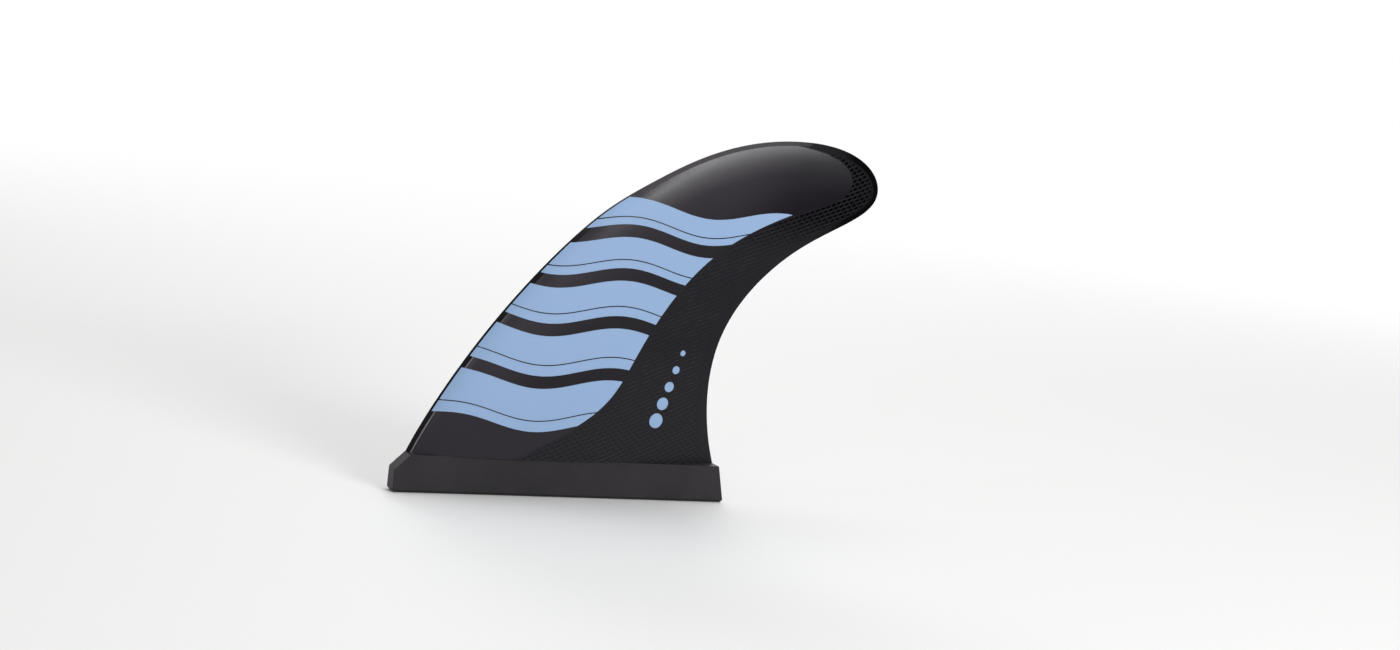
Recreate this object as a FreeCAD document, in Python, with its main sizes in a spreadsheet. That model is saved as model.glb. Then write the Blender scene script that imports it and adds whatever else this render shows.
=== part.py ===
import FreeCAD, Part
import os
import Sketcher

# Moulded side fin in one piece: a raked and canted blade with a flat inner face and a foiled
# outer face, on a long base tab that drops into the box in a board.
# X runs from the leading edge aft, the foiled face looks toward -Y, and the origin is the
# middle of the tab's bottom face. Sizes are in millimetres and degrees.

V = FreeCAD.Vector

doc = FreeCAD.newDocument("Fin")
sheet = doc.addObject("Spreadsheet::Sheet", "Sizes")
filledRows = []


def setSize(alias, content):
    """Write one size or formula in the next row of the sheet and name its cell."""
    filledRows.append(alias)
    row = len(filledRows)
    sheet.set("A%d" % row, alias)
    sheet.set("B%d" % row, str(content))
    sheet.setAlias("B%d" % row, alias)


# Outline of the blade. Both edges are cubic splines on the same rows of control points, so
# that one share of the way along the splines is one height. Each row has its rise above the
# row below, the sweep of its leading point aft of the one below, and the width between its
# leading and trailing points.
rise = {"Root": 0, "Heel": 12.7, "Waist": 33.7, "Neck": 36.2, "Shoulder": 12.2, "Crown": 20.2, "Top": 0}
sweep = {"Root": 0, "Heel": 4.7, "Waist": 17.8, "Neck": 29.5, "Shoulder": 16.7, "Crown": 33.7, "Top": 25.2}
width = {"Root": 112.3, "Heel": 102.2, "Waist": 77.5, "Neck": 79.1, "Shoulder": 99.1, "Crown": 47.6, "Top": 0}
outlineRows = list(width)
for name, rowSizes in (("rise", rise), ("sweep", sweep), ("width", width)):
    for row in outlineRows:
        setSize(name + row, rowSizes[row])

# Foil of the blade, and the base tab with a sloped seat for the clamping screw in front and
# an undercut end behind.
sizes = {
    "rootThick": 8,      # greatest thickness at the tab
    "tipThick": 2.6,     # greatest thickness at the top
    "rootNose": 1.3,     # blunt land along the leading edge, at the tab
    "tipNose": 0.8,      # the same at the top
    "trailThick": 0.9,   # squared trailing edge
    "cantAngle": 6.5,    # lean toward the foiled side
    "tabThick": 6.4,
    "tabDepth": 12.7,
    "tabToe": 5,         # reach ahead of the blade, and height of the 45 degree seat
    "tabHook": 3,        # reach aft of the blade, under the box's rear lip
    "tabChamfer": 0.7,
}
for name, value in sizes.items():
    setSize(name, value)

# Section of the foiled face, as control points from nose to trailing edge: the share of
# the chord, and the share of the way up from the edge to the greatest thickness. Three
# points in a row at full height make the spline touch that thickness.
foilShares = ((0, 0), (0.016, 0.32), (0.075, 0.76), (0.22, 1), (0.38, 1), (0.6, 1), (0.82, 0.48), (1, 0))
for k, (chordShare, thickShare) in enumerate(foilShares):
    setSize("chordShare%d" % k, chordShare)
    setSize("thickShare%d" % k, thickShare)

# Running totals of the outline rows, measured from the middle of the tab's bottom.
setSize("tabLength", "=tabToe + widthRoot + tabHook")
setSize("heightRoot", "=tabDepth + riseRoot")
setSize("leadRoot", "=tabToe - tabLength / 2 + sweepRoot")
for below, row in zip(outlineRows, outlineRows[1:]):
    setSize("height" + row, "=height%s + rise%s" % (below, row))
    setSize("lead" + row, "=lead%s + sweep%s" % (below, row))
setSize("lean", "=tan(cantAngle)")


def controlShare(point, order, along, knots):
    """Share that one control point has in a spline, some share of the way along it."""
    if order == 0:
        return 1.0 if knots[point] <= along < knots[point + 1] else 0.0
    share = 0.0
    span = knots[point + order] - knots[point]
    if span > 0:
        share += (along - knots[point]) / span * controlShare(point, order - 1, along, knots)
    span = knots[point + order + 1] - knots[point + 1]
    if span > 0:
        left = knots[point + order + 1] - along
        share += left / span * controlShare(point + 1, order - 1, along, knots)
    return share


def evenKnots(pointCount, degree):
    """Evenly spaced knots of a spline that starts and ends at its first and last point."""
    spans = pointCount - degree
    return [k / spans for k in range(spans + 1)]


# Foil stations up the blade, closer together toward the rounded tip. The last one lies just
# short of the top, where the chord is a few millimetres, and closes the blade.
degree = 3
stationCount = 16
lastShare = 0.99
crowding = 1.5
edgeKnots = [0.0] * degree + evenKnots(len(outlineRows), degree) + [1.0] * degree
for n in range(stationCount):
    along = lastShare * (1 - (1 - n / (stationCount - 1)) ** crowding)
    shares = [controlShare(k, degree, along, edgeKnots) for k in range(len(outlineRows))]
    for station, name in (("stationHeight", "height"), ("stationLead", "lead"), ("stationChord", "width")):
        terms = ["%.6f * %s%s" % (share, name, row) for share, row in zip(shares, outlineRows)]
        setSize("%s%d" % (station, n), "=" + " + ".join(terms))
    climb = "(stationHeight%d - heightRoot) / (heightTop - heightRoot)" % n
    setSize("stationThick%d" % n, "=rootThick + (tipThick - rootThick) * " + climb)
    setSize("stationNose%d" % n, "=rootNose + (tipNose - rootNose) * " + climb)
    setSize("stationInner%d" % n, "=tabThick / 2 - lean * (stationHeight%d - heightRoot)" % n)
doc.recompute()

body = doc.addObject("PartDesign::Body", "Fin")
body.Label = "fin"


def newSketch(name, role):
    """A sketch on one of the body's own origin planes."""
    sketch = body.newObject("Sketcher::SketchObject", name)
    plane = [p for p in body.Origin.OriginFeatures if p.Role == role][0]
    sketch.AttachmentSupport = [(plane, "")]
    sketch.MapMode = "FlatFace"
    return sketch


def placeOf(formulas):
    """Point that a pair of the sheet's formulas gives."""
    across, up = (body.evalExpression(formula) for formula in formulas)
    return V(across, up)


def pinPoint(sketch, geometry, point, formulas):
    """Tie a point to the sketch's origin by a pair of the sheet's formulas."""
    place = sketch.getPoint(geometry, point)
    for kind, value, formula in zip(("DistanceX", "DistanceY"), (place.x, place.y), formulas):
        index = sketch.addConstraint(Sketcher.Constraint(kind, -1, 1, geometry, point, value))
        sketch.setExpression("Constraints[%d]" % index, formula)


# Tab, padded from its side outline. The corners run from the foot of the seat round the
# bottom and the undercut end to the top of the seat, under the blade's leading corner.
tabCorners = (
    ("-Sizes.tabLength / 2", "Sizes.tabDepth - Sizes.tabToe"),
    ("-Sizes.tabLength / 2", "0"),
    ("Sizes.tabLength / 2", "0"),
    ("Sizes.tabLength / 2 - Sizes.tabHook", "Sizes.tabDepth"),
    ("Sizes.tabToe - Sizes.tabLength / 2", "Sizes.tabDepth"),
)
tabSketch = newSketch("TabOutline", "XZ_Plane")
corners = [placeOf(formulas) for formulas in tabCorners]
for k, corner in enumerate(corners):
    tabSketch.addGeometry(Part.LineSegment(corner, corners[(k + 1) % len(corners)]), False)
for k, formulas in enumerate(tabCorners):
    tabSketch.addConstraint(Sketcher.Constraint("Coincident", k, 2, (k + 1) % len(tabCorners), 1))
    pinPoint(tabSketch, k, 1, formulas)

tab = body.newObject("PartDesign::Pad", "Tab")
tab.Profile = tabSketch
tab.SideType = "Symmetric"
tab.setExpression("Length", "Sizes.tabThick")
doc.recompute()

# A chamfer round the bottom face lets the tab enter the box.
faceHeights = [face.CenterOfMass.z for face in tab.Shape.Faces]
bottomFace = "Face%d" % (faceHeights.index(min(faceHeights)) + 1)
entry = body.newObject("PartDesign::Chamfer", "Entry")
entry.Base = (tab, [bottomFace])
entry.setExpression("Size", "Sizes.tabChamfer")


def foilSketch(n):
    """Level section of the blade: inner face, nose land, foiled face and trailing edge."""
    sketch = newSketch("Foil%d" % n, "XY_Plane")
    for axis, name in (("x", "stationLead"), ("y", "stationInner"), ("z", "stationHeight")):
        sketch.setExpression("AttachmentOffset.Base." + axis, "Sizes.%s%d" % (name, n))

    chord = "Sizes.stationChord%d" % n
    thick = "Sizes.stationThick%d" % n
    controls = []
    for k in range(len(foilShares)):
        edge = "Sizes.stationNose%d" % n if k < len(foilShares) / 2 else "Sizes.trailThick"
        depth = "-(%s + Sizes.thickShare%d * (%s - %s))" % (edge, k, thick, edge)
        controls.append(("Sizes.chordShare%d * %s" % (k, chord), depth))
    points = [placeOf(formulas) for formulas in controls]
    knots = evenKnots(len(points), degree)
    repeats = [degree + 1] + [1] * (len(knots) - 2) + [degree + 1]
    spline = Part.BSplineCurve()
    spline.buildFromPolesMultsKnots(points, repeats, knots, False, degree)
    face = sketch.addGeometry(spline, False)
    for k, point in enumerate(points):
        circle = sketch.addGeometry(Part.Circle(point, V(0, 0, 1), 1), True)
        control = "InternalAlignment:Sketcher::BSplineControlPoint"
        sketch.addConstraint(Sketcher.Constraint(control, circle, 3, face, k))
        if k == 0:
            sketch.addConstraint(Sketcher.Constraint("Weight", circle, 1.0))
        else:
            sketch.addConstraint(Sketcher.Constraint("Equal", face + 1, circle))
        pinPoint(sketch, circle, 3, controls[k])

    leadCorner = V(0, 0)
    trailCorner = placeOf((chord, "0"))
    inner = sketch.addGeometry(Part.LineSegment(leadCorner, trailCorner), False)
    nose = sketch.addGeometry(Part.LineSegment(leadCorner, points[0]), False)
    trail = sketch.addGeometry(Part.LineSegment(trailCorner, points[-1]), False)
    pinPoint(sketch, inner, 2, (chord, "0"))
    for first, firstEnd, second, secondEnd in (
        (inner, 1, -1, 1), (nose, 1, -1, 1), (nose, 2, face, 1), (trail, 1, inner, 2), (trail, 2, face, 2)
    ):
        sketch.addConstraint(Sketcher.Constraint("Coincident", first, firstEnd, second, secondEnd))
    return sketch


# Blade, lofted through the foil stations and joined to the tab.
foils = [foilSketch(n) for n in range(stationCount)]
blade = body.newObject("PartDesign::AdditiveLoft", "Blade")
blade.Profile = (foils[0], [""])
blade.Sections = [(foil, [""]) for foil in foils[1:]]
blade.Ruled = False
doc.recompute()

for item in doc.Objects:
    if "Invalid" in item.State or "Error" in item.State:
        raise RuntimeError("%s did not build: %s" % (item.Name, item.State))
if body.Shape.isNull() or not body.Shape.isValid() or len(body.Shape.Solids) != 1:
    raise RuntimeError("the fin is not one sound solid")

os.makedirs("parts", exist_ok=True)
body.Shape.exportStep("parts/%s.step" % body.Label)
print(body.Label, body.Shape.BoundBox, "%.1f cm3" % (body.Shape.Volume / 1000))
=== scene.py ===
import math

import bmesh
import bpy
import numpy as np
from mathutils import Matrix, Vector
from mathutils.geometry import delaunay_2d_cdt
from mathutils.kdtree import KDTree


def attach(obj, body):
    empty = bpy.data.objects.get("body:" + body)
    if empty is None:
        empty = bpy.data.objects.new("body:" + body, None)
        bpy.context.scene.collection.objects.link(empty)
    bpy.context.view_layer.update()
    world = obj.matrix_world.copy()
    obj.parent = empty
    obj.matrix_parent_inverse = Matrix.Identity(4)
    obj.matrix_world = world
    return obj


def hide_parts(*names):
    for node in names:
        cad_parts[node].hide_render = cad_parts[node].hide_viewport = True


# Side fin for a surfboard: one dark moulding with a satin panel, a woven shell behind it and
# light blue wave bands. Lengths in the dictionaries are millimetres, objects are in metres.

mm = 0.001

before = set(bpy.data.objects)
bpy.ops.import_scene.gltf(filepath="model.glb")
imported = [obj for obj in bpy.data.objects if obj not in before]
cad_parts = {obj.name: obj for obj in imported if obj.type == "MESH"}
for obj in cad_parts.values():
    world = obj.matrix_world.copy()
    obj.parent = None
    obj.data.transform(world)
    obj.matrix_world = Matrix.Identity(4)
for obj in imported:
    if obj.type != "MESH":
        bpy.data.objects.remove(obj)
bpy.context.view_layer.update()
scene = bpy.context.scene
collection = scene.collection
print("frame loaded:", sorted(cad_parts))

# camera at the photograph's viewing angle
view = {
    "place": (-0.3283, -0.7883, 0.1688),   # metres
    "yaw": 25.33,                          # degrees from +Y toward +X
    "down": 7.03,                          # degrees below level
    "roll": 6.95,
    "lens": 65.8,
    "sensor": 36,
    "clip": 0.01,                          # metres
}

yaw, down = math.radians(view["yaw"]), math.radians(view["down"])
looking = Vector((math.sin(yaw) * math.cos(down), math.cos(yaw) * math.cos(down), -math.sin(down)))
level = looking.to_track_quat("-Z", "Y").to_matrix().to_4x4()
cameraData = bpy.data.cameras.new("camera")
cameraData.lens = view["lens"]
cameraData.sensor_width = view["sensor"]
cameraData.clip_start = view["clip"]
camera = bpy.data.objects.new("camera", cameraData)
collection.objects.link(camera)
tilt = Matrix.Rotation(math.radians(view["roll"]), 4, "Z")
camera.matrix_world = Matrix.Translation(view["place"]) @ level @ tilt
scene.camera = camera
scene.view_settings.view_transform = "Standard"
print("camera set")


class Signal:
    # wraps one socket of a node tree, so that an expression on signals adds its Math nodes
    def __init__(self, tree, socket=None):
        self.tree = tree
        self.socket = socket

    def node(self, kind, settings=None, inputs=None, out=0):
        made = self.tree.nodes.new(kind)
        for name, value in (settings or {}).items():
            if name == "stops":
                self.fillRamp(made.color_ramp, value)
            else:
                setattr(made, name, value)
        for name, value in (inputs or {}).items():
            if isinstance(value, Signal):
                self.tree.links.new(value.socket, made.inputs[name])
            elif made.inputs[name].type == "RGBA":
                made.inputs[name].default_value = (*value, 1)
            else:
                made.inputs[name].default_value = value
        return None if out is None else Signal(self.tree, made.outputs[out])

    def fillRamp(self, ramp, stops):
        # hard steps between grey levels
        ramp.interpolation = "CONSTANT"
        while len(ramp.elements) < len(stops):
            ramp.elements.new(1.0)
        for element, (place, level) in zip(ramp.elements, stops):
            element.position = place
            element.color = (level, level, level, 1)

    def maths(self, operation, *others):
        inputs = dict(enumerate((self, *others)))
        return self.node("ShaderNodeMath", {"operation": operation}, inputs)

    def __add__(self, other):
        return self.maths("ADD", other)

    def __radd__(self, other):
        return self.maths("ADD", other)

    def __sub__(self, other):
        return self.maths("SUBTRACT", other)

    def __rsub__(self, other):
        return self.node("ShaderNodeMath", {"operation": "SUBTRACT"}, {0: other, 1: self})

    def __mul__(self, other):
        return self.maths("MULTIPLY", other)

    def __rmul__(self, other):
        return self.maths("MULTIPLY", other)

    def __truediv__(self, other):
        return self.maths("DIVIDE", other)

    def __pow__(self, other):
        return self.maths("POWER", other)

    def least(self, other):
        return self.maths("MINIMUM", other)

    def most(self, other):
        return self.maths("MAXIMUM", other)

    def step(self, low, high):
        # 0 below low, 1 above high, smooth between
        return self.node(
            "ShaderNodeMapRange", {"interpolation_type": "SMOOTHSTEP"},
            {"Value": self, "From Min": low, "From Max": high, "To Min": 0.0, "To Max": 1.0},
        )

    def blend(self, colourA, colourB):
        # colourA where this signal is 0, colourB where it is 1
        inputs = {0: self, 6: colourA, 7: colourB}
        return self.node("ShaderNodeMix", {"data_type": "RGBA"}, inputs, out=2)

    def between(self, levelA, levelB):
        # a plain number that goes from levelA to levelB with this signal
        return levelA + self * (levelB - levelA)


def newMaterial(name):
    material = bpy.data.materials.new(name)
    material.use_nodes = True
    material.node_tree.nodes.clear()
    return material, Signal(material.node_tree)


# outline and foil of the blade, the same sizes as the solid
blade = {
    "rise": (0, 12.7, 33.7, 36.2, 12.2, 20.2, 0),
    "sweep": (0, 4.7, 17.8, 29.5, 16.7, 33.7, 25.2),
    "width": (112.3, 102.2, 77.5, 79.1, 99.1, 47.6, 0),
    "rootThick": 8,
    "tipThick": 2.6,
    "rootNose": 1.3,
    "tipNose": 0.8,
    "trailThick": 0.9,
    "cant": 6.5,          # degrees, toward the foiled face
    "foilChord": (0, 0.016, 0.075, 0.22, 0.38, 0.6, 0.82, 1),
    "foilRise": (0, 0.32, 0.76, 1, 1, 1, 0.48, 0),
    "tipRound": 13,       # width of the rounding inside the outline, near the top
    "tipFrom": 55,        # heights between which the level foil turns into that rounding
    "tipTo": 100,
    "leadRound": 0.45,    # small radius along the leading edge, at the root
    "edgeRound": 0.28,    # the same at the top and along the trailing edge
    "seamHigh": 0.05,     # moulding seam round the edge
    "seamWide": 0.1,      # half its width
    "seamShare": 0.8,     # the most that it takes of the flat between the small radii
    "seamFrom": (0.5, 2.5),   # heights over which it rises from the tab
    "flatLeft": 0.03,     # half of the flat that the small radii leave at least
    "edgeStep": 0.42,     # spacing of the points round the outline
    "edgeTurns": (30, 60, 90),   # degrees, rows of points round each small radius
    "leastChord": 0.5,    # keeps the share of the chord steady at the top
    "sharpAngle": 38,     # degrees, edges above it stay sharp
}
tab = {"thick": 6.4, "depth": 12.7, "toe": 5, "hook": 3, "chamfer": 0.7, "round": 0.3}

bladeDepth = sum(blade["rise"])
tabLength = tab["toe"] + blade["width"][0] + tab["hook"]
rootLead = tab["toe"] - tabLength / 2
lean = math.tan(math.radians(blade["cant"]))


def controlShares(count, along, degree=3):
    # share of each control point of an end-clamped even spline, one row per place along it
    inner = np.linspace(0, 1, count - degree + 1)
    knots = np.concatenate([np.zeros(degree), inner, np.ones(degree)])
    along = np.clip(along, 0, 1 - 1e-9)
    shares = [((knots[k] <= along) & (along < knots[k + 1])) * 1.0 for k in range(len(knots) - 1)]
    for order in range(1, degree + 1):
        higher = []
        for k in range(len(shares) - 1):
            left, right = knots[k + order] - knots[k], knots[k + order + 1] - knots[k + 1]
            share = 0 * along
            if left > 0:
                share = share + (along - knots[k]) / left * shares[k]
            if right > 0:
                share = share + (knots[k + order + 1] - along) / right * shares[k + 1]
            higher.append(share)
        shares = higher
    return np.array(shares).T


# tables that heights and places along the chord are read from
tables = {"rows": 2401, "crowding": 1.6, "foil": 801, "panel": 600, "lineStep": 0.1}

# level rows up the blade, closer together toward the top
rows = 1 - (1 - np.linspace(0, 1, tables["rows"])) ** tables["crowding"]
rowShares = controlShares(len(blade["rise"]), rows)
rowHeight = rowShares @ np.cumsum(blade["rise"])
rowLead = rowShares @ np.cumsum(blade["sweep"])
rowChord = rowShares @ np.array(blade["width"])

# foil over the share of the chord: how far each of the three thicknesses counts there
foilShares = controlShares(len(blade["foilChord"]), np.linspace(0, 1, tables["foil"]))
foilChord = foilShares @ np.array(blade["foilChord"])
foilRise = np.array(blade["foilRise"])
frontHalf = np.arange(len(foilRise)) < len(foilRise) / 2
fullCount = foilShares @ foilRise
noseCount = foilShares @ ((1 - foilRise) * frontHalf)
trailCount = foilShares @ ((1 - foilRise) * ~frontHalf)


def edgesAt(height):
    return np.interp(height, rowHeight, rowLead), np.interp(height, rowHeight, rowChord)


def noseAt(height):
    return blade["rootNose"] + (blade["tipNose"] - blade["rootNose"]) * height / bladeDepth


def smooth(values, low, high):
    share = np.clip((values - low) / (high - low), 0, 1)
    return share * share * (3 - 2 * share)


def thickAt(x, height, edgeGap):
    # from the inner face to the foiled face
    lead, chord = edgesAt(height)
    share = np.clip((x - lead) / np.maximum(chord, blade["leastChord"]), 0, 1)
    full = blade["rootThick"] + (blade["tipThick"] - blade["rootThick"]) * height / bladeDepth
    levelFoil = (
        full * np.interp(share, foilChord, fullCount)
        + noseAt(height) * np.interp(share, foilChord, noseCount)
        + blade["trailThick"] * np.interp(share, foilChord, trailCount)
    )
    inward = 1 - np.clip(edgeGap / blade["tipRound"], 0, 1)
    rounded = blade["tipNose"] + (full - blade["tipNose"]) * (1 - inward ** 2)
    toTip = smooth(height, blade["tipFrom"], blade["tipTo"])
    return levelFoil + (rounded - levelFoil) * toTip


def innerAt(height):
    return tab["thick"] / 2 - lean * height


def spaced(points, step):
    # the same line with points an even step apart
    runs = np.concatenate([[0], np.cumsum(np.linalg.norm(np.diff(points, axis=0), axis=1))])
    marks = np.linspace(0, runs[-1], max(2, round(runs[-1] / step) + 1))
    return np.array([np.interp(marks, runs, points[:, axis]) for axis in (0, 1)]).T


# outline loop, from the front corner round the top to the aft corner, with its outward direction
leadLine = np.array([rowLead, rowHeight]).T
trailLine = np.array([rowLead + rowChord, rowHeight]).T
leadPoints = spaced(leadLine, blade["edgeStep"])
trailPoints = spaced(trailLine[::-1], blade["edgeStep"])
outline = np.concatenate([leadPoints, trailPoints[1:]])
topIndex = len(leadPoints) - 1

tangent = np.gradient(outline, axis=0)
outward = np.array([-tangent[:, 1], tangent[:, 0]]).T
outward /= np.linalg.norm(outward, axis=1)[:, None]
for end in (0, -1):   # stay on the level root line
    outward[end] = (1 / outward[end, 0], 0)


def lineTree(points):
    tree = KDTree(len(points))
    for k, (x, z) in enumerate(points):
        tree.insert((x, z, 0), k)
    tree.balance()
    return tree


def gapsTo(tree, places):
    return np.array([tree.find((x, z, 0))[2] for x, z in places])


leadTree = lineTree(spaced(leadLine, tables["lineStep"]))
trailTree = lineTree(spaced(trailLine, tables["lineStep"]))

# satin panel: control points of its aft border, as x aft of the root's front corner and height
panelBorder = (
    (20, -8), (45, 4.5), (66, 16), (73.5, 32), (79, 46), (90, 65), (104, 79),
    (126, 90.5), (140, 94.5), (146.8, 100.5), (144.6, 107.2), (138, 111.2),
    (129, 113.2), (120, 113.8),
)

panelShares = controlShares(len(panelBorder), np.linspace(0, 1, tables["panel"]))
panelLine = spaced(panelShares @ np.array(panelBorder, float), tables["lineStep"])
panelTree = lineTree(panelLine)
panelTangent = np.gradient(panelLine, axis=0)
panelTangent /= np.linalg.norm(panelTangent, axis=1)[:, None]


def panelGaps(places):
    # distance inside the satin panel's aft border, less than 0 in the woven shell behind it
    gaps = []
    for x, z in places:
        nearest, k, gap = panelTree.find((x, z, 0))
        side = panelTangent[k, 0] * (z - nearest[1]) - panelTangent[k, 1] * (x - nearest[0])
        gaps.append(math.copysign(gap, side))
    return np.array(gaps)


# weave: rows of staggered long pits, in the mesh and again in the material
weave = {
    "rise": 22.5,        # degrees that the rows climb aft
    "pitch": 2.09,       # along a row
    "rowGap": 1.38,
    "rowShift": 0.348,   # how far each row lies behind the one above, as a share of the pitch
    "pitLong": 0.41,     # half length, as a share of the pitch
    "pitWide": 0.37,     # half width, as a share of the row gap
    "wall": (1.2, 0.75),      # a pit's wall falls between these shares of its half size
    "stain": (0.9, 1.3),      # and its dark colour ends between these
    "depth": 0.22,
    "panelSide": (0.1, -0.5),     # the pits start over this much of the panel's border
    "rim": 2.8,               # plain rim outside the weave
    "rimSide": (-0.6, 0.4),   # and end over this much of the rim's border
    "fadeLow": 72,            # height where only a trace of the pits is left
    "fadeHigh": 93,
    "trace": 0.16,
    "fineFrom": 66,           # the mesh is finest above this height
    "waver": 0.8,             # how far the coloured rows waver, as a share of the row gap
    "wallHighlightWide": (1.05, 1.25),   # painted highlight on the walls starts over these shares of a pit's half width
    "wallHighlightLong": (0.45, 0.9),    # and end over these shares of its half length
}
weaveTurn = math.radians(weave["rise"])


def weaveDepth(x, z, panelGap, edgeGap):
    a = (x * math.cos(weaveTurn) + z * math.sin(weaveTurn)) / weave["pitch"]
    b = (z * math.cos(weaveTurn) - x * math.sin(weaveTurn)) / weave["rowGap"]
    row = np.floor(b)
    a = a + weave["rowShift"] * row
    long = np.abs(a - np.floor(a) - 0.5) / weave["pitLong"]
    wide = np.abs(b - row - 0.5) / weave["pitWide"]
    pit = smooth(np.maximum(wide, long + 0.5 * wide), *weave["wall"])
    rimFrom, rimTo = (weave["rim"] + side for side in weave["rimSide"])
    zone = smooth(panelGap, *weave["panelSide"]) * smooth(edgeGap, rimFrom, rimTo)
    fade = weave["trace"] + (1 - weave["trace"]) * smooth(z, weave["fadeLow"], weave["fadeHigh"])
    return weave["depth"] * pit * zone * fade


def lattice(stepX, stepZ, turn, lo, hi):
    # staggered points over a box, turned by an angle
    cos, sin = math.cos(turn), math.sin(turn)
    corners = np.array([(x, z) for x in (lo[0], hi[0]) for z in (lo[1], hi[1])])
    across = corners @ np.array([(cos, -sin), (sin, cos)])
    first, last = across.min(0), across.max(0)
    points = []
    for k, b in enumerate(np.arange(first[1], last[1], stepZ)):
        a = np.arange(first[0], last[0], stepX) + (k % 2) * stepX / 2
        points.append(np.array([a * cos - b * sin, a * sin + b * cos]).T)
    points = np.concatenate(points)
    inside = np.all((points > lo) & (points < hi), axis=1)
    return points[inside]


def insideBlade(points, margin):
    # the points that lie inside the outline by the margin, and how far inside they are
    x, z = points.T
    lead, chord = edgesAt(np.clip(z, 0, bladeDepth))
    keep = (z > margin) & (z < bladeDepth) & (x > lead) & (x < lead + chord)
    points = points[keep]
    gaps = np.minimum(gapsTo(leadTree, points), gapsTo(trailTree, points))
    keep = gaps > margin
    return points[keep], gaps[keep]


def fillFace(border, rootLine, fillers):
    # triangles over the planform: border loop first, then the root line, then the inside points
    loop = np.concatenate([border, rootLine])
    points = np.concatenate([loop, fillers])
    edges = [(k, (k + 1) % len(loop)) for k in range(len(loop))]
    verts, _, faces, origins, _, _ = delaunay_2d_cdt(
        [Vector(p) for p in points], edges, [list(range(len(loop)))], 1, 1e-6
    )
    if len(verts) != len(points):
        raise RuntimeError("the fill changed the points: %d, not %d" % (len(verts), len(points)))
    order = [origin[0] for origin in origins]
    return points, [[order[k] for k in face] for face in faces]


# points inside the outline: their spacing, then their least distance from the outline
fill = {
    "fine": ((9, 7), 0.5),             # points to a pitch and to a row gap of the weave
    "middling": ((5, 3), 0.6),
    "middlingFrom": 1,                 # height
    "coarse": ((0.85, 0.74), 0.8),     # millimetres
    "inner": ((1.6, 1.4), 1.2),
    "root": 0.8,
    "panelReach": (0.5, 0.9),          # inside the panel's border, weave's points then coarse ones
    "rimReach": (0.9, 1.3),            # outside the rim's border, the same
}

inset = np.full(len(outline), blade["edgeRound"])
inset[:topIndex] += (blade["leadRound"] - blade["edgeRound"]) * (1 - outline[:topIndex, 1] / bladeDepth)
border = outline - outward * inset[:, None]
rootEnds = border[-1, 0], border[0, 0]
rootSteps = int((rootEnds[0] - rootEnds[1]) / fill["root"])
rootLine = np.array([np.linspace(*rootEnds, rootSteps + 1)[1:-1], np.zeros(rootSteps - 1)]).T
lo, hi = outline.min(0), outline.max(0)

# fine in the pits, middling in their trace, coarse elsewhere
fillers = []
split = weave["fineFrom"]
levels = {"fine": (split, bladeDepth), "middling": (fill["middlingFrom"], split)}
for kind, (above, below) in levels.items():
    (along, across), margin = fill[kind]
    points = lattice(weave["pitch"] / along, weave["rowGap"] / across, weaveTurn, lo, hi)
    points = points[(points[:, 1] > above) & (points[:, 1] <= below)]
    points, edgeGaps = insideBlade(points, margin)
    nearPanel, nearRim = fill["panelReach"][0], weave["rim"] - fill["rimReach"][0]
    fillers.append(points[(panelGaps(points) < nearPanel) & (edgeGaps > nearRim)])
spacing, margin = fill["coarse"]
points, edgeGaps = insideBlade(lattice(*spacing, 0, lo, hi), margin)
nearPanel, nearRim = fill["panelReach"][1], weave["rim"] - fill["rimReach"][1]
fillers.append(points[(panelGaps(points) > nearPanel) | (edgeGaps < nearRim)])
outerFill = np.concatenate(fillers)
spacing, margin = fill["inner"]
innerFill, _ = insideBlade(lattice(*spacing, 0, lo, hi), margin)
outerPoints, outerFaces = fillFace(border, rootLine, outerFill)
innerPoints, innerFaces = fillFace(border, rootLine, innerFill)
print("faces filled:", len(outerFaces), len(innerFaces))


def liftOuter(points):
    x, z = points.T
    edge = np.minimum(gapsTo(leadTree, points), gapsTo(trailTree, points))
    depth = thickAt(x, z, edge) - weaveDepth(x, z, panelGaps(points), edge)
    return np.array([x, innerAt(z) - depth, z]).T


def liftInner(points):
    x, z = points.T
    return np.array([x, innerAt(z), z]).T


outerVerts = liftOuter(outerPoints)
innerVerts = liftInner(innerPoints)
count = len(outline)

# rim rows from the foiled face round to the inner face, each as its reach out and place across
outerEdge, innerEdge = outerVerts[:count, 1], innerVerts[:count, 1]
land = innerEdge - outerEdge
falls = []
for turn in np.radians(blade["edgeTurns"]):
    fall = np.minimum(inset * (1 - math.cos(turn)), land / 2 - blade["flatLeft"])
    falls.append((inset * math.sin(turn), fall))
middle = (outerEdge + innerEdge) / 2
seamWide = np.minimum(blade["seamWide"], (land / 2 - falls[-1][1]) * blade["seamShare"])
seamHigh = blade["seamHigh"] * smooth(outline[:, 1], *blade["seamFrom"])
rimRows = [(out, outerEdge + fall) for out, fall in falls]
rimRows += [(inset, middle - seamWide), (inset + seamHigh, middle), (inset, middle + seamWide)]
rimRows += [(out, innerEdge - fall) for out, fall in falls[::-1]]
rimVerts = []
for out, across in rimRows:
    places = border + outward * out[:, None]
    rimVerts.append(np.array([places[:, 0], across, places[:, 1]]).T)

verts = np.concatenate([outerVerts, innerVerts, *rimVerts])
faces = [face[::-1] for face in outerFaces]
innerStart = len(outerVerts)
faces += [[k + innerStart for k in face] for face in innerFaces]
rimStart = innerStart + len(innerVerts)
strips = [np.arange(count)]
strips += [rimStart + row * count + np.arange(count) for row in range(len(rimRows))]
strips += [innerStart + np.arange(count)]
for stripA, stripB in zip(strips, strips[1:]):
    for k in range(count - 1):
        faces.append((stripA[k], stripA[k + 1], stripB[k + 1], stripB[k]))

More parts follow.
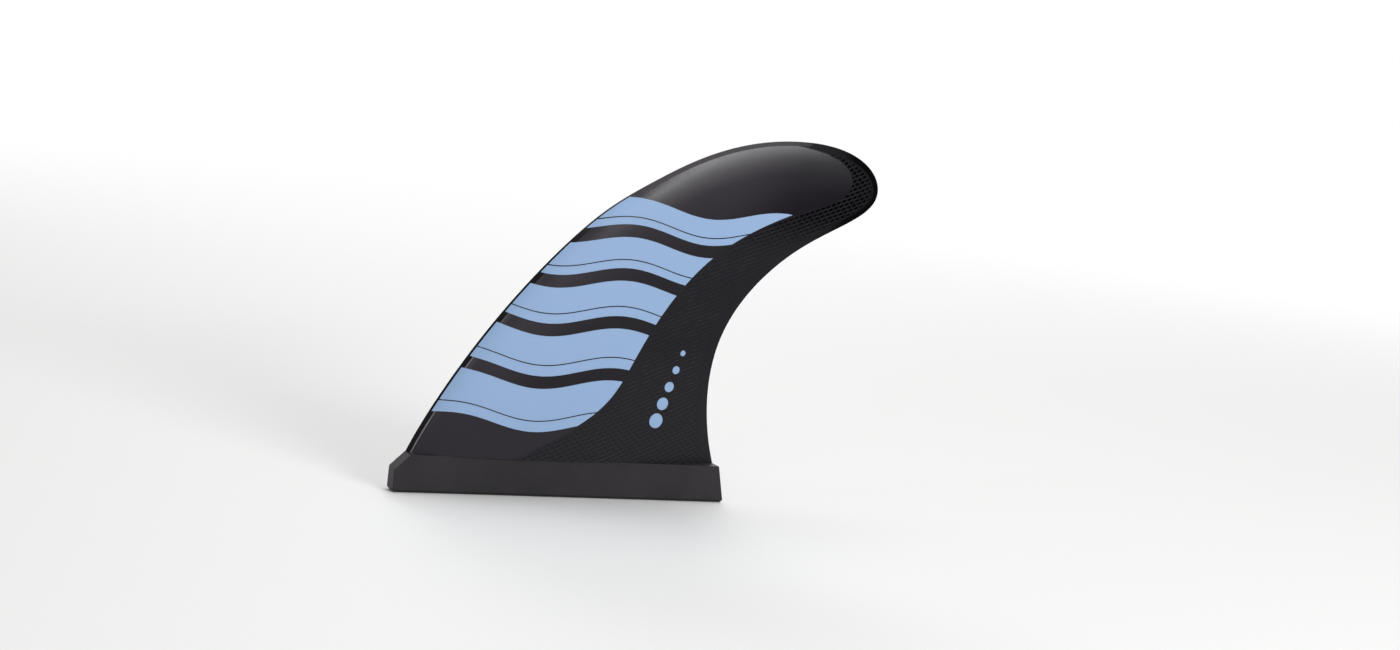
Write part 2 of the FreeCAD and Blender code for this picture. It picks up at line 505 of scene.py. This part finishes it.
# root section, closed with one face
outerRoot = list(range(count, count + len(rootLine)))
innerRoot = [innerStart + k for k in outerRoot]
aftEnd = [strip[-1] for strip in strips[::-1]]
foreEnd = [strip[0] for strip in strips]
faces.append(aftEnd + outerRoot + foreEnd + innerRoot[::-1])

places = (verts + (rootLead, 0, tab["depth"])) * mm
bladeMesh = bpy.data.meshes.new("bladeShell")
bladeMesh.from_pydata(places.tolist(), [], [[int(k) for k in face] for face in faces])
bm = bmesh.new()
bm.from_mesh(bladeMesh)
bmesh.ops.recalc_face_normals(bm, faces=bm.faces)
bm.to_mesh(bladeMesh)
bm.free()
fin = bpy.data.objects.new("fin_moulding", bladeMesh)
collection.objects.link(fin)

# base tab: its side outline pulled to its thickness, with a chamfered foot and small radii
nearby = 1e-6   # metres
half = tabLength / 2
tabOutline = (
    (-half, tab["depth"] - tab["toe"]), (-half, 0), (half, 0),
    (half - tab["hook"], tab["depth"]), (tab["toe"] - half, tab["depth"]),
)
bm = bmesh.new()
sides = []
for y in (-tab["thick"] / 2, tab["thick"] / 2):
    sides.append([bm.verts.new((x * mm, y * mm, z * mm)) for x, z in tabOutline])
bm.faces.new(sides[0])
bm.faces.new(sides[1][::-1])
for k in range(len(tabOutline)):
    after = (k + 1) % len(tabOutline)
    bm.faces.new((sides[0][k], sides[1][k], sides[1][after], sides[0][after]))
bmesh.ops.recalc_face_normals(bm, faces=bm.faces)
foot = [edge for edge in bm.edges if all(v.co.z < nearby for v in edge.verts)]
bmesh.ops.bevel(bm, geom=foot, offset=tab["chamfer"] * mm, segments=1, affect="EDGES", profile=0.5)
top = tab["depth"] * mm - nearby
soft = [edge for edge in bm.edges if not any(v.co.z > top for v in edge.verts)]
bmesh.ops.bevel(bm, geom=soft, offset=tab["round"] * mm, segments=3, affect="EDGES", profile=0.5)
tabMesh = bpy.data.meshes.new("tab")
bm.to_mesh(tabMesh)
bm.free()
tabObject = bpy.data.objects.new("tab", tabMesh)
collection.objects.link(tabObject)


def bakeModifiers(piece):
    # the piece's mesh as its modifiers leave it
    bpy.context.view_layer.update()
    finished = piece.evaluated_get(bpy.context.evaluated_depsgraph_get())
    mesh = bpy.data.meshes.new_from_object(finished)
    piece.modifiers.clear()
    piece.data = mesh
    return mesh


union = fin.modifiers.new("tab", "BOOLEAN")
union.operation = "UNION"
union.solver = "MANIFOLD"
union.object = tabObject
joined = bakeModifiers(fin)
bpy.data.objects.remove(tabObject)
bm = bmesh.new()
bm.from_mesh(joined)
openEdges = [edge for edge in bm.edges if len(edge.link_faces) != 2]
bmesh.ops.triangulate(bm, faces=[face for face in bm.faces if len(face.verts) > 4])
volume = round(bm.calc_volume() * 1e6, 2)
print("fin:", len(bm.faces), "faces, open edges", len(openEdges), "volume cm3", volume)
bm.to_mesh(joined)
bm.free()

for polygon in joined.polygons:
    polygon.use_smooth = True
joined.set_sharp_from_angle(angle=math.radians(blade["sharpAngle"]))
flatten = fin.modifiers.new("flatten", "WEIGHTED_NORMAL")   # keeps the tab's large faces flat
flatten.keep_sharp = True
joined = bakeModifiers(fin)

# distances that the material reads, in millimetres, and the share of the way to the foiled face
leastDepth = 0.3   # keeps that share steady along thin edges
co = np.zeros(len(joined.vertices) * 3)
joined.vertices.foreach_get("co", co)
co = co.reshape(-1, 3) / mm - (rootLead, 0, tab["depth"])
plan = co[:, (0, 2)]
leadGap = gapsTo(leadTree, plan)
trailGap = gapsTo(trailTree, plan)
height = np.clip(plan[:, 1], 0, bladeDepth)
fullDepth = thickAt(plan[:, 0], height, np.minimum(leadGap, trailGap))
fields = {
    "leadGap": leadGap,
    "trailGap": trailGap,
    "panelGap": panelGaps(plan),
    "outerShare": (innerAt(height) - co[:, 1]) / np.maximum(fullDepth, leastDepth),
}
for name, values in fields.items():
    attribute = joined.attributes.new(name, "FLOAT", "POINT")
    attribute.data.foreach_set("value", values.astype(np.float32))

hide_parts("fin")
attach(fin, "root")
print("fin made")

# colours of the moulding, linear
finish = {
    "frontPanelSheen": (0.0215, 0.0183, 0.0240),  # painted sheen: paler near the leading edge, below the key lamp's highlight
    "backPanel": (0.0064, 0.0050, 0.0082),
    # painted light: the panel paler low down
    "lowPanelLight": (0.0175, 0.0145, 0.0205),
    "shell": (0.0084, 0.0074, 0.0106),
    "tipShell": (0.0064, 0.0056, 0.0086),
    "wallHighlight": (0.0400, 0.0366, 0.0460),    # painted highlight on the weave's walls, between the pits
    # painted shade in the pits
    "pit": (0.0002, 0.0002, 0.0003),
    "rim": (0.0052, 0.0045, 0.0056),
    "tipRim": (0.0006, 0.0005, 0.0006),
    "nose": (0.0075, 0.0068, 0.0078),
    "topNoseHighlight": (0.0560, 0.0520, 0.0560),   # the same strip above the print, painted paler: painted highlight
    "cornerHighlight": (0.190, 0.181, 0.190),         # painted highlight: a pale line along the nose's corner
    "inner": (0.0340, 0.0270, 0.0325),
    "innerDull": (0.0225, 0.0192, 0.0222),
    # painted shade along both edges of the inner face
    "innerEdgeShade": (0.0105, 0.0088, 0.0108),
    "tab": (0.0128, 0.0110, 0.0130),
    "tabDull": (0.0185, 0.0160, 0.0185),
    "ink": (0.264, 0.386, 0.590),
    "roughness": 0.48,
    "panelGloss": 0.24,                    # how much smoother the panel is
    "inkDull": 0.3,                        # and how much rougher its print
    "panelSpecular": 0.19,
    "rawRoughness": 0.8,                   # raw: the dull moulding in pits and along edges
    "rawSpecular": 0.03,
}
ranges = {
    # where a tone comes in or goes, in millimetres or as the level of a noise
    "root": (-0.05, 0.05),       # height
    "outer": (0.45, 0.7),        # share of the way to the foiled face
    "nose": (0.9, 1.35),         # width of the dark strip along the leading edge, low and high
    "noseHeights": (0, 90),
    "noseEdge": (0, 0.1),
    "noseClear": (72, 98),       # the strip is painted paler up here, a painted highlight, and is glossier
    "noseDark": (118, 138),      # and dark again aft of this
    "cornerHighlightStart": (0, 0.08),      # painted highlight line, from the strip's border
    "cornerHighlightEnd": (0.3, 0.5),
    "cornerHighlightHeights": (20, 60),
    "cornerHighlightCloud": (0.35, 0.6),
    "panelEdge": (-0.12, 0.12),
    "panelFront": (4, 30),       # aft of the leading edge
    "panelLow": (4, 30),         # height
    "panelAft": (100, 130),      # aft of the root's front corner
    "panelDull": (0, 20),        # inside the panel's border
    "panelDullAft": (95, 125),
    "panelDullTop": (97, 107),
    "rim": (-1, 0.8),            # about the rim's border
    "rimTip": (132, 147),
    "innerLead": (0.3, 4.5),
    "innerTrail": (1.2, 3.8),
    "innerDark": (85, 150),
    "innerHaze": (0.25, 0.6),
    "tabCloud": (0.3, 0.7),
    "wallHighlightRim": (3, 7),
    "wallHighlightPanel": (-4, -0.5),
    "wallHighlightPatch": (0.34, 0.6),
    "wallHighlightCloud": (0.38, 0.62),
    "shellGloss": (5, 45),
}
amounts = {
    # how strong a tone is, alone or from one end of its range to the other
    "cornerHighlight": (0.55, 1.0),
    "pit": (0.32, 1.0),
    "wallHighlightCloud": (0.4, 1.0),
    "wallHighlightPanel": (0.35, 1.0),
    "rim": (0.25, 1.0),
    "innerLead": 0.6,
    "innerTone": (1.0, 0.25),
    "rawShell": (0.1, 0.4),
    "rawTip": 0.35,              # added to the shell's toward the tip
    "rawRim": (0.2, 0.7),
    "rawNose": (0.85, 0.2),
    "rawPanel": 0.75,
    "roughCloud": 0.1,           # how far the noises move the roughness
    "roughGrain": 0.06,
    "reliefGrain": 0.5,
    "reliefPits": 0.8,
    "bump": 0.25,
    "bumpHigh": 0.00006,         # metres
}
textures = {
    # scale and detail of the noises
    "grain": (900.0, 3.0),
    "cloud": (60.0, 4.0),
    "waver": (130.0, 2.0),       # moves the weave's rows
    "patch": (420.0, 1.0),       # breaks up the painted highlight on its walls
    "haze": (12.0, 2.0),         # soft dull areas of the inner face
}
waves = {
    "widths": (15, 13.5, 12, 10.5, 9),   # from the lowest band up
    "gap": 4.4,
    "first": 12.6,       # height of the lowest band's lower edge at the front
    "climb": -0.02,      # rise aft, as a share
    "swell": 2.3,        # height of the waves
    "length": 54,
    "lineAt": 0.24,      # thin dark line in each band, as a share of its width
    "lineWide": 0.5,
    "panelSide": (0.5, 0.6),     # the bands end inside the panel's border
    "leadSide": (0.27, 0.37),    # and behind the leading edge
}
dots = {
    "sizes": (2.6, 2.2, 1.8, 1.4, 1.0),   # radii
    "start": (86.5, 15.0),                # middle of the first, aft and up
    "step": (1.6, 6.0),
    "soft": 0.05,
}

mouldMaterial, m = newMaterial("mouldedComposite")
position = m.node("ShaderNodeTexCoord", out="Object")
xyz = {name: m.node("ShaderNodeSeparateXYZ", None, {0: position}, out=name) for name in "XZ"}
# millimetres aft of the root's front corner and above the root
x = xyz["X"] * 1000 - rootLead
z = xyz["Z"] * 1000 - tab["depth"]


def field(name):
    return m.node("ShaderNodeAttribute", {"attribute_name": name}, out="Fac")


def noise(name):
    scale, detail = textures[name]
    inputs = {"Vector": position, "Scale": scale, "Detail": detail}
    return m.node("ShaderNodeTexNoise", None, inputs)


leadGap, trailGap = field("leadGap"), field("trailGap")
panelGap, outerShare = field("panelGap"), field("outerShare")
edgeGap = leadGap.least(trailGap)
grain, cloud = noise("grain"), noise("cloud")
aboveRoot = z.step(*ranges["root"])
onOuter = outerShare.step(*ranges["outer"]) * aboveRoot
towardTip = z.step(weave["fadeLow"], weave["fadeHigh"])

# dark strip along the leading edge, with a painted highlight line along its border low on the blade
pastNose = leadGap - z.step(*ranges["noseHeights"]).between(*ranges["nose"])
noseMask = (1 - pastNose.step(*ranges["noseEdge"])) * aboveRoot
cornerHighlightMask = pastNose.step(*ranges["cornerHighlightStart"]) * (1 - pastNose.step(*ranges["cornerHighlightEnd"]))
cornerHighlightMask = cornerHighlightMask * onOuter * (1 - z.step(*ranges["cornerHighlightHeights"]))
cornerHighlightMask = cornerHighlightMask * cloud.step(*ranges["cornerHighlightCloud"]).between(*amounts["cornerHighlight"])
panelMask = onOuter * panelGap.step(*ranges["panelEdge"]) * pastNose.step(*ranges["noseEdge"])

# the weave again, as colour: painted shade in its pits and painted highlight on the walls between them;
# its rows waver where the mesh has next to no pits
turnCos, turnSin = math.cos(weaveTurn), math.sin(weaveTurn)
waver = (noise("waver") - 0.5) * (1 - towardTip) * weave["waver"]
patch = noise("patch")
a = (x * turnCos + z * turnSin) / weave["pitch"]
b = (z * turnCos - x * turnSin) / weave["rowGap"] + waver
row = b.maths("FLOOR")
a = a + row * weave["rowShift"]
long = (a - a.maths("FLOOR") - 0.5).maths("ABSOLUTE") / weave["pitLong"]
wide = (b - row - 0.5).maths("ABSOLUTE") / weave["pitWide"]
pit = 1 - wide.most(long + 0.5 * wide).step(*weave["stain"])
wallHighlight = wide.step(*weave["wallHighlightWide"]) * (1 - long.step(*weave["wallHighlightLong"]))
wallHighlight = wallHighlight * patch.step(*ranges["wallHighlightPatch"])
rimFrom, rimTo = (weave["rim"] + side for side in weave["rimSide"])
zone = onOuter * (1 - panelGap.step(*weave["panelSide"][::-1])) * edgeGap.step(rimFrom, rimTo)
# how strong the painted shade in the pits is, weaker low down
pitMask = pit * zone * towardTip.between(*amounts["pit"])
wallHighlightMask = wallHighlight * zone * edgeGap.step(*ranges["wallHighlightRim"])
wallHighlightMask = wallHighlightMask * cloud.step(*ranges["wallHighlightCloud"]).between(*amounts["wallHighlightCloud"])
offPanel = 1 - panelGap.step(*ranges["wallHighlightPanel"])
wallHighlightMask = wallHighlightMask * offPanel.between(*amounts["wallHighlightPanel"])
wallHighlightMask = (wallHighlightMask * (1 - towardTip)).most(wallHighlight * zone * towardTip)

# dark rims on the foiled face round the weave, and painted shade on the inner face along both edges
rimFrom, rimTo = (weave["rim"] + side for side in ranges["rim"])
rimMask = (1 - edgeGap.step(rimFrom, rimTo)) * (1 - panelMask) * onOuter
farTip = x.step(*ranges["rimTip"])
innerEdgeShade = (1 - leadGap.step(*ranges["innerLead"])) * amounts["innerLead"]
innerEdgeShade = innerEdgeShade.most(1 - trailGap.step(*ranges["innerTrail"])) * (1 - onOuter) * aboveRoot

# print: wave bands over the panel, each with a thin dark line, and graded dots behind them
swell = (x * (2 * math.pi / waves["length"])).maths("SINE")
bandPlace = z - x * waves["climb"] - swell * waves["swell"]
rampLength = 100   # millimetres that the ramp stands for
stops = [(0.0, 0.0)]
edge = waves["first"]
for width in waves["widths"]:
    line = edge + width * waves["lineAt"]
    starts, ends = (edge, line + waves["lineWide"]), (line, edge + width)
    for start, end in zip(starts, ends):
        stops += [(start / rampLength, 1.0), (end / rampLength, 0.0)]
    edge += width + waves["gap"]
bands = m.node("ShaderNodeValToRGB", {"stops": stops}, {"Fac": bandPlace / rampLength})
bandMask = bands * panelGap.step(*waves["panelSide"]) * leadGap.step(*waves["leadSide"])
dotMask = None
for k, size in enumerate(dots["sizes"]):
    dx = x - (dots["start"][0] + k * dots["step"][0])
    dz = z - (dots["start"][1] + k * dots["step"][1])
    away = (dx * dx + dz * dz) ** 0.5
    dot = 1 - away.step(size - dots["soft"], size + dots["soft"])
    dotMask = dot if dotMask is None else dotMask + dot
inkMask = bandMask.most(dotMask) * onOuter

# colours from the widest areas to the smallest
shellColour = towardTip.blend(finish["shell"], finish["tipShell"])
innerTone = x.step(*ranges["innerDark"]).between(*amounts["innerTone"])
innerTone = noise("haze").step(*ranges["innerHaze"]) * innerTone
innerColour = innerTone.blend(finish["innerDull"], finish["inner"])
tabColour = cloud.step(*ranges["tabCloud"]).blend(finish["tab"], finish["tabDull"])
colour = aboveRoot.blend(tabColour, onOuter.blend(innerColour, shellColour))
# painted highlight on the walls between the pits
colour = wallHighlightMask.blend(colour, finish["wallHighlight"])
# painted shade along the inner face's edges
colour = innerEdgeShade.blend(colour, finish["innerEdgeShade"])
rimColour = farTip.blend(finish["rim"], finish["tipRim"])
colour = (rimMask * towardTip.between(*amounts["rim"])).blend(colour, rimColour)
# painted light on the panel: painted sheen toward the leading edge, paler low down, darkest aft
panelColour = leadGap.step(*ranges["panelFront"]).blend(finish["frontPanelSheen"], finish["backPanel"])
panelColour = z.step(*ranges["panelLow"]).blend(finish["lowPanelLight"], panelColour)
panelColour = x.step(*ranges["panelAft"]).blend(panelColour, finish["backPanel"])
colour = panelMask.blend(colour, panelColour)
# painted shade in the pits, strongest toward the tip
colour = pitMask.blend(colour, finish["pit"])
# painted highlight on the nose strip near the top
towardTop = z.step(*ranges["noseClear"]) * (1 - x.step(*ranges["noseDark"]))
colour = noseMask.blend(colour, towardTop.blend(finish["nose"], finish["topNoseHighlight"]))
# painted highlight along the nose's corner
colour = cornerHighlightMask.blend(colour, finish["cornerHighlight"])
colour = inkMask.blend(colour, finish["ink"])

# gloss: satin on the panel, dull and raw in the pits, on the rims and at the tip
roughness = finish["roughness"] + (cloud - 0.5) * amounts["roughCloud"]
roughness = roughness + (grain - 0.5) * amounts["roughGrain"]
roughness = roughness - panelMask * finish["panelGloss"] + inkMask * finish["inkDull"]
relief = grain * amounts["reliefGrain"] + (1 - pit * zone) * amounts["reliefPits"]
bump = m.node(
    "ShaderNodeBump", None,
    {"Height": relief, "Strength": amounts["bump"], "Distance": amounts["bumpHigh"]},
)
satin = m.node(
    "ShaderNodeBsdfPrincipled", None,
    {
        "Base Color": colour, "Roughness": roughness,
        "Specular IOR Level": finish["panelSpecular"], "Normal": bump,
    },
)
raw = m.node(
    "ShaderNodeBsdfPrincipled", None,
    {
        "Base Color": colour, "Roughness": finish["rawRoughness"],
        "Specular IOR Level": finish["rawSpecular"], "Normal": bump,
    },
)
rawShell = z.step(*ranges["shellGloss"]).between(*amounts["rawShell"])
rawShell = onOuter * (1 - panelMask) * (rawShell + towardTip * amounts["rawTip"])
rawRim = rimMask * towardTip.between(*amounts["rawRim"]).most(farTip)
rawNose = noseMask * towardTop.between(*amounts["rawNose"])
rawPanel = panelMask * (1 - panelGap.step(*ranges["panelDull"])) * x.step(*ranges["panelDullAft"])
rawPanel = rawPanel * (1 - z.step(*ranges["panelDullTop"])) * amounts["rawPanel"]
rawMask = pitMask.most(rawRim).most(rawNose).most(rawShell).most(rawPanel)
rawMask = rawMask * (1 - inkMask) * (1 - cornerHighlightMask)
shader = m.node("ShaderNodeMixShader", None, {0: rawMask, 1: satin, 2: raw})
m.node("ShaderNodeOutputMaterial", None, {"Surface": shader}, out=None)
fin.data.materials.clear()
fin.data.materials.append(mouldMaterial)
for polygon in fin.data.polygons:
    polygon.material_index = 0
print("moulding finished")

# floor, white round about and far away, and soft studio light
studio = {
    "floorColour": (0.88, 0.88, 0.875),
    "floorRoughness": 0.7,
    "floorSpecular": 0.2,
    "floorSides": 96,
    "floorRadius": 12,             # metres, as all lengths here
    "floorDrop": 0.0001,           # below the fin's foot
    "whiteFrom": 0.35,             # distance from the fin, where the floor starts to turn white
    "whiteTo": 1.3,                # and where it is white
    "ambient": 0.15,
    "aim": (0.03, 0, 0.09),
}
lamps = {
    # turn from the foiled side, lift above level and distance, then width, height and watts
    "key": ((18.5, 17.4, 1.25), (0.64, 0.14), 8.2),  # seen in the nose of the foil
    "wide": ((13, 8, 1.6), (0.7, 0.5), 2.6),         # glow below the key's reflection
    "left": ((-40, 16, 1.4), (0.4, 0.4), 1.0),
    "side": ((-80, 10, 1.4), (0.3, 0.7), 2),
    "back": ((165, 28, 1.4), (0.6, 0.5), 4),
    "top": ((120, 78, 1.5), (1.4, 1.4), 16),
}

bm = bmesh.new()
bmesh.ops.create_circle(bm, cap_ends=True, segments=studio["floorSides"], radius=studio["floorRadius"])
floorMesh = bpy.data.meshes.new("floor")
bm.to_mesh(floorMesh)
bm.free()
floor = bpy.data.objects.new("floor", floorMesh)
floor.location.z = -studio["floorDrop"]
collection.objects.link(floor)


def seenDirectly(signal):
    # 1 for camera, glossy and transmission rays
    camera, glossy, clear = (
        signal.node("ShaderNodeLightPath", out="Is %s Ray" % kind)
        for kind in ("Camera", "Glossy", "Transmission")
    )
    return camera.most(glossy).most(clear)


white = (1, 1, 1)
floorMaterial, f = newMaterial("paleFloor")
ground = f.node("ShaderNodeNewGeometry", out="Position")
away = f.node("ShaderNodeVectorMath", {"operation": "LENGTH"}, {0: ground}, out="Value")
matt = f.node(
    "ShaderNodeBsdfPrincipled", None,
    {
        "Base Color": studio["floorColour"], "Roughness": studio["floorRoughness"],
        "Specular IOR Level": studio["floorSpecular"],
    },
)
glow = f.node("ShaderNodeEmission", None, {"Color": white, "Strength": 1.0})
whiteMask = away.step(studio["whiteFrom"], studio["whiteTo"]) * seenDirectly(f)
surface = f.node("ShaderNodeMixShader", None, {0: whiteMask, 1: matt, 2: glow})
f.node("ShaderNodeOutputMaterial", None, {"Surface": surface}, out=None)
floor.data.materials.append(floorMaterial)

world = bpy.data.worlds.new("studio")
world.use_nodes = True
world.node_tree.nodes.clear()
scene.world = world
w = Signal(world.node_tree)
dim = w.node("ShaderNodeBackground", None, {"Color": white, "Strength": studio["ambient"]})
bright = w.node("ShaderNodeBackground", None, {"Color": white, "Strength": 1.0})
surround = w.node("ShaderNodeMixShader", None, {0: seenDirectly(w), 1: dim, 2: bright})
w.node("ShaderNodeOutputWorld", None, {"Surface": surround}, out=None)

aim = Vector(studio["aim"])
for name, ((turn, lift, distance), size, watts) in lamps.items():
    turn, lift = math.radians(turn), math.radians(lift)
    reach, climb = math.cos(lift), math.sin(lift)
    toward = Vector((math.sin(turn) * reach, -math.cos(turn) * reach, climb))
    light = bpy.data.lights.new(name, "AREA")
    light.shape = "RECTANGLE"
    light.size, light.size_y = size
    light.energy = watts
    lamp = bpy.data.objects.new(name, light)
    lamp.location = aim + toward * distance
    lamp.rotation_mode = "QUATERNION"
    lamp.rotation_quaternion = (-toward).to_track_quat("-Z", "Y")
    collection.objects.link(lamp)
print("studio lit")
